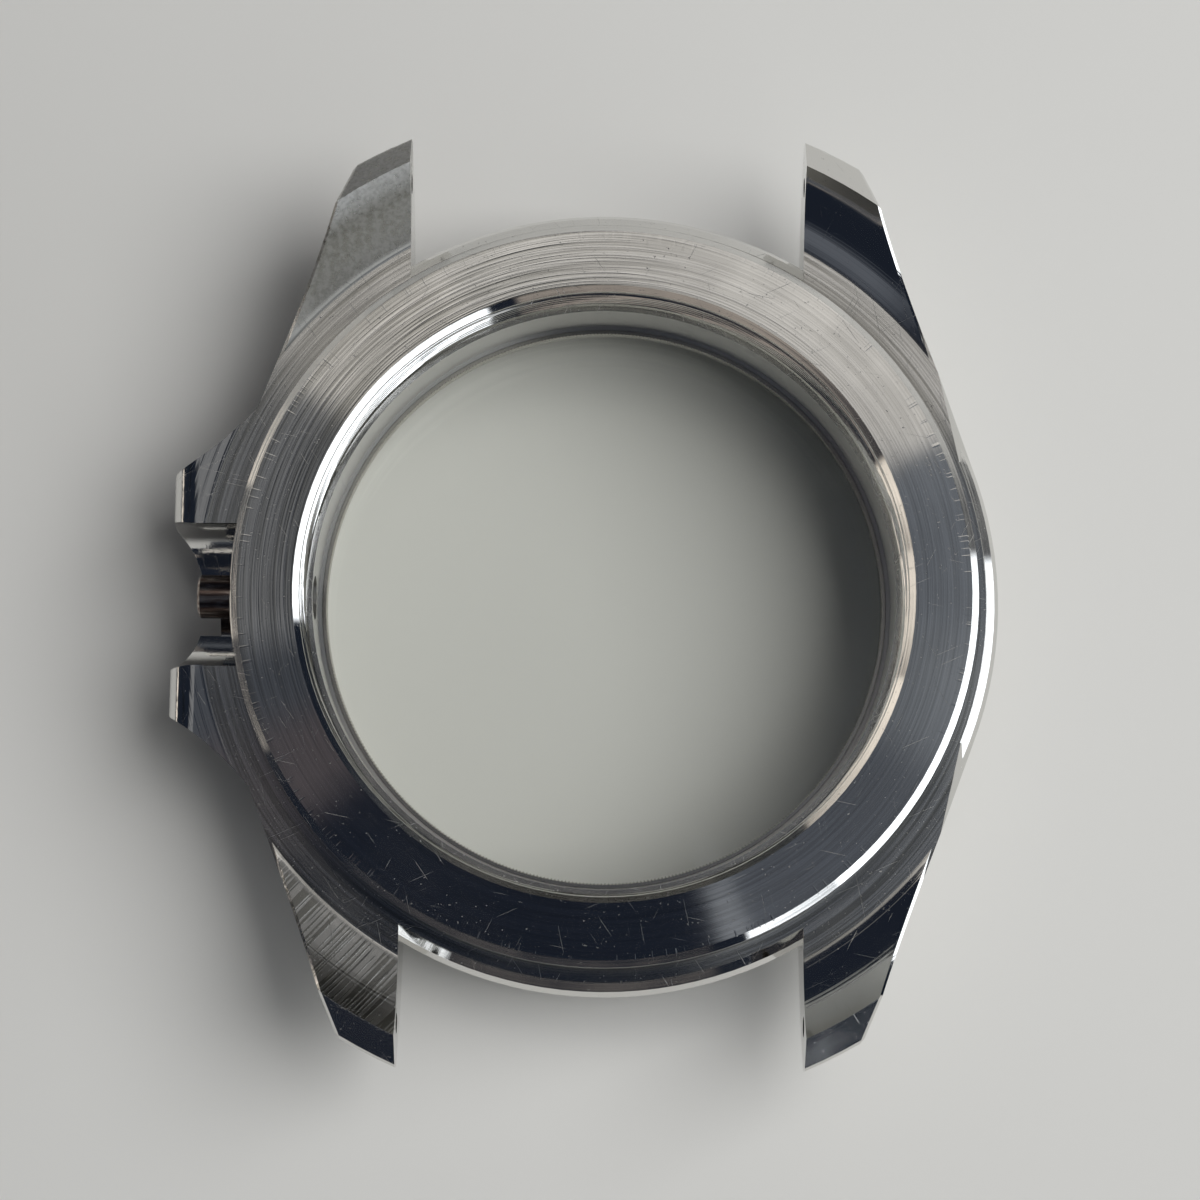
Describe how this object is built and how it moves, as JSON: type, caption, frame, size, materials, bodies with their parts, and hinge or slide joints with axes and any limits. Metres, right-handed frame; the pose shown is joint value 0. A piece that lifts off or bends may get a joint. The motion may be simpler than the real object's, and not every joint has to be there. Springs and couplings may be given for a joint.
{
  "type": "empty watch case",
  "caption": "Round stainless steel wristwatch case with lugs, crown guards, crown tube, screw-back opening and flat crystal, without movement, crown or back.",
  "frame": {"origin": "centre of the crystal's outer face, which the case lies on", "axes": "+Z along the case axis, from the crystal towards the case back; +Y towards the 12 o'clock lugs; the crown side is at -X"},
  "size_m": [0.0416, 0.0466, 0.0102],
  "materials": {
    "case_steel": "turned and brushed stainless steel with polished bevels",
    "tube_steel": "turned stainless steel, slightly stained",
    "ring_steel": "satin stainless steel",
    "crystal_glass": "clear polished mineral glass",
    "gasket_nylon": "translucent white nylon",
    "bezel_steel": "mirror-polished stainless steel"
  },
  "bodies": {
    "root": {"mid_case": "case_steel", "crown_tube": "tube_steel", "rehaut_ring": "ring_steel", "crystal": "crystal_glass", "crystal_gasket": "gasket_nylon", "bezel": "bezel_steel"}
  },
  "joints": []
}
